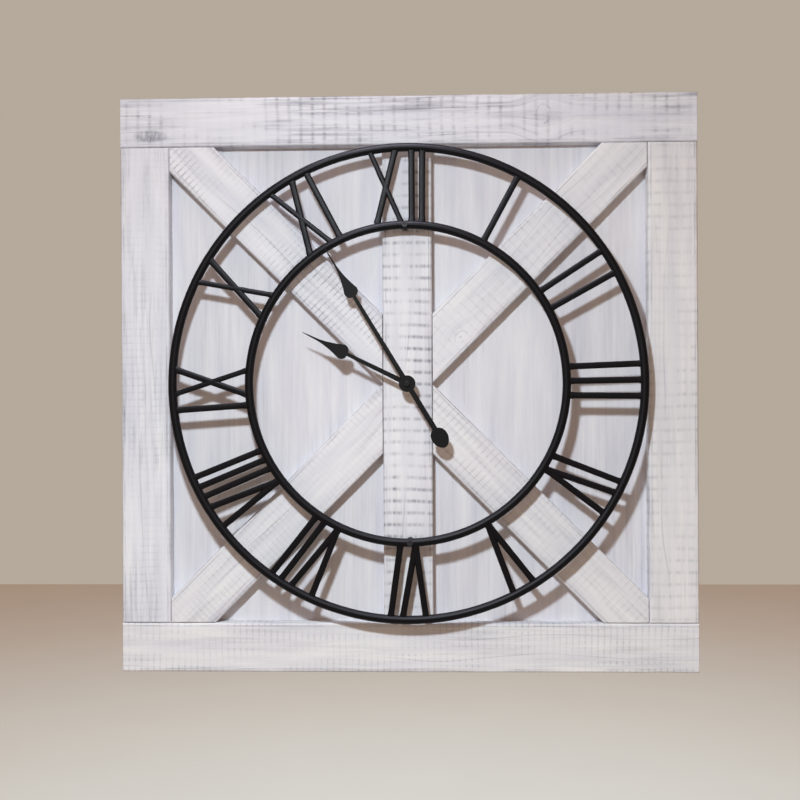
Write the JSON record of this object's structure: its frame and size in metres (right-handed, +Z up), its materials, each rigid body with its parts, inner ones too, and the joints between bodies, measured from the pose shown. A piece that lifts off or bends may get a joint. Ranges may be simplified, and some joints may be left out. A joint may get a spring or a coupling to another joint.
{
  "type": "wall clock",
  "caption": "Square wall clock with a whitewashed board frame, a black skeleton dial of Roman numerals, spade hands and a battery movement.",
  "frame": {"origin": "centre of the hanger's keyhole on the back plane, where the clock hangs", "axes": "+Z up, -Y out of the front of the clock, +Y into the wall, +X to the viewer's right"},
  "size_m": [0.7366, 0.0755, 0.7366],
  "materials": {
    "whitewashed_pine": "rough-sawn pine boards painted white and rubbed back, with grey saw marks and worn edges",
    "painted_plywood": "thin white wash brushed along a vertical grain",
    "bare_pine": "unpainted planed pine",
    "zinc_steel": "zinc-plated steel",
    "black_iron": "satin black paint over iron bar",
    "black_steel": "satin black paint over thin steel",
    "brass": "turned brass",
    "gasket_rubber": "black rubber",
    "case_plastic": "moulded black plastic with a fine texture",
    "plate_plastic": "moulded off-white plastic",
    "wheel_plastic": "moulded natural acetal",
    "knob_plastic": "moulded pale grey plastic",
    "rotor_magnet": "sintered magnet",
    "stator_steel": "stamped silicon steel",
    "bobbin_plastic": "moulded cream plastic",
    "copper_wire": "enamelled copper wire",
    "circuit_board": "green solder mask with a black chip and a metal crystal can",
    "battery_jacket": "printed foil jacket in plain grey, with metal ends"
  },
  "bodies": {
    "clock": {"top_rail": "whitewashed_pine", "bottom_rail": "whitewashed_pine", "left_stile": "whitewashed_pine", "right_stile": "whitewashed_pine", "centre_board": "whitewashed_pine", "brace_upper_left": "whitewashed_pine", "brace_upper_right": "whitewashed_pine", "brace_lower_left": "whitewashed_pine", "brace_lower_right": "whitewashed_pine", "back_panel": "painted_plywood", "cleat_top": "bare_pine", "cleat_bottom": "bare_pine", "cleat_left": "bare_pine", "cleat_right": "bare_pine", "frame_screws": "zinc_steel", "hanger_plate": "zinc_steel", "hanger_screws": "zinc_steel", "outer_ring": "black_iron", "inner_ring": "black_iron", "numeral_1": "black_iron", "numeral_2": "black_iron", "numeral_3": "black_iron", "numeral_4": "black_iron", "numeral_5": "black_iron", "numeral_6": "black_iron", "numeral_7": "black_iron", "numeral_8": "black_iron", "numeral_9": "black_iron", "numeral_10": "black_iron", "numeral_11": "black_iron", "numeral_12": "black_iron", "dial_spacers": "black_iron", "dial_screws": "black_steel", "fixing_nut": "brass", "washer": "brass", "gasket": "gasket_rubber", "threaded_bush": "brass", "movement_case": "case_plastic", "middle_plate": "plate_plastic", "rear_cover": "case_plastic", "stator": "stator_steel", "coil_bobbin": "bobbin_plastic", "coil_winding": "copper_wire", "circuit_board": "circuit_board", "positive_contact": "zinc_steel", "negative_contact": "zinc_steel"},
    "minute_hand": {"minute_hand": "black_steel", "cap_nut": "black_steel", "minute_arbor": "brass", "clutch_spring": "zinc_steel"},
    "hour_hand": {"hour_hand": "black_steel", "hour_wheel": "wheel_plastic"},
    "motion_wheel": {"motion_wheel": "wheel_plastic"},
    "setting_knob": {"setting_knob": "knob_plastic"},
    "second_wheel": {"second_wheel": "wheel_plastic"},
    "centre_wheel": {"centre_wheel": "wheel_plastic"},
    "third_wheel": {"third_wheel": "wheel_plastic"},
    "intermediate_wheel": {"intermediate_wheel": "wheel_plastic"},
    "rotor": {"rotor": "rotor_magnet"},
    "battery": {"battery": "battery_jacket"}
  },
  "joints": [
    {"name": "minute_hand_turn", "type": "hinge", "parent": "clock", "child": "minute_hand", "pos_m": [0, 0, -0.34], "axis": [0, 1, 0], "continuous": true},
    {"name": "hour_hand_turn", "type": "hinge", "parent": "clock", "child": "hour_hand", "pos_m": [0, 0, -0.34], "axis": [0, 1, 0], "continuous": true},
    {"name": "motion_wheel_turn", "type": "hinge", "parent": "clock", "child": "motion_wheel", "pos_m": [0.00956, 0, -0.34084], "axis": [0, 1, 0], "continuous": true},
    {"name": "setting_knob_turn", "type": "hinge", "parent": "clock", "child": "setting_knob", "pos_m": [0.01916, 0, -0.34084], "axis": [0, 1, 0], "continuous": true},
    {"name": "second_wheel_turn", "type": "hinge", "parent": "clock", "child": "second_wheel", "pos_m": [0, 0, -0.34], "axis": [0, 1, 0], "continuous": true},
    {"name": "centre_wheel_turn", "type": "hinge", "parent": "clock", "child": "centre_wheel", "pos_m": [0, 0, -0.34], "axis": [0, 1, 0], "continuous": true},
    {"name": "third_wheel_turn", "type": "hinge", "parent": "clock", "child": "third_wheel", "pos_m": [-0.01219, 0, -0.33893], "axis": [0, 1, 0], "continuous": true},
    {"name": "intermediate_wheel_turn", "type": "hinge", "parent": "clock", "child": "intermediate_wheel", "pos_m": [0.005, 0, -0.33134], "axis": [0, 1, 0], "continuous": true},
    {"name": "rotor_turn", "type": "hinge", "parent": "clock", "child": "rotor", "pos_m": [0.01307, 0, -0.32629], "axis": [0, 1, 0], "continuous": true},
    {"name": "battery_slide", "type": "slide", "parent": "clock", "child": "battery", "axis": [0, 1, 0], "range_m": [0, 0.02]}
  ],
  "couplings": [
    {"joint": "hour_hand_turn", "follows": "minute_hand_turn", "ratio": 0.083333},
    {"joint": "motion_wheel_turn", "follows": "minute_hand_turn", "ratio": -0.33333},
    {"joint": "setting_knob_turn", "follows": "minute_hand_turn", "ratio": 1},
    {"joint": "centre_wheel_turn", "follows": "second_wheel_turn", "ratio": 0.016667},
    {"joint": "third_wheel_turn", "follows": "second_wheel_turn", "ratio": -0.13333},
    {"joint": "intermediate_wheel_turn", "follows": "second_wheel_turn", "ratio": -4},
    {"joint": "rotor_turn", "follows": "second_wheel_turn", "ratio": 30}
  ]
}
